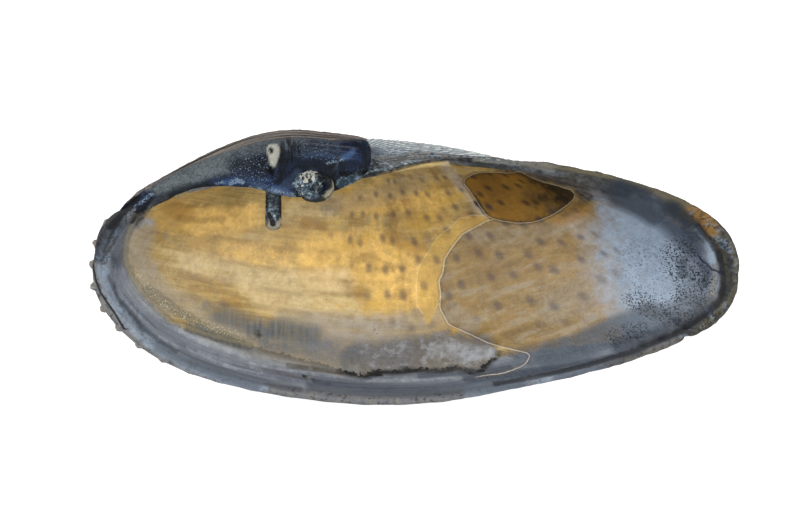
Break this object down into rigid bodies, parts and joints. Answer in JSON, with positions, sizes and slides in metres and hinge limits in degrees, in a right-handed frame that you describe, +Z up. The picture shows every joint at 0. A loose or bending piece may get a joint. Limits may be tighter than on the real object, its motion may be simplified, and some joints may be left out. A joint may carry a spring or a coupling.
{
  "type": "piddock shell valve",
  "caption": "Oval piddock shell valve lying hollow side up: scaly ribs outside, a plate folded out over the beak, a spoon-shaped hinge tooth and a thin finger inside.",
  "frame": {"origin": "middle of the bounding box, on the surface that the shell lies on", "axes": "+X towards the rear (siphon) end, +Y towards the hinge side, +Z up out of the hollow"},
  "size_m": [0.0598, 0.0254, 0.0143],
  "materials": {
    "shell": "satin"
  },
  "bodies": {
    "root": {"shell": "shell"}
  },
  "joints": []
}
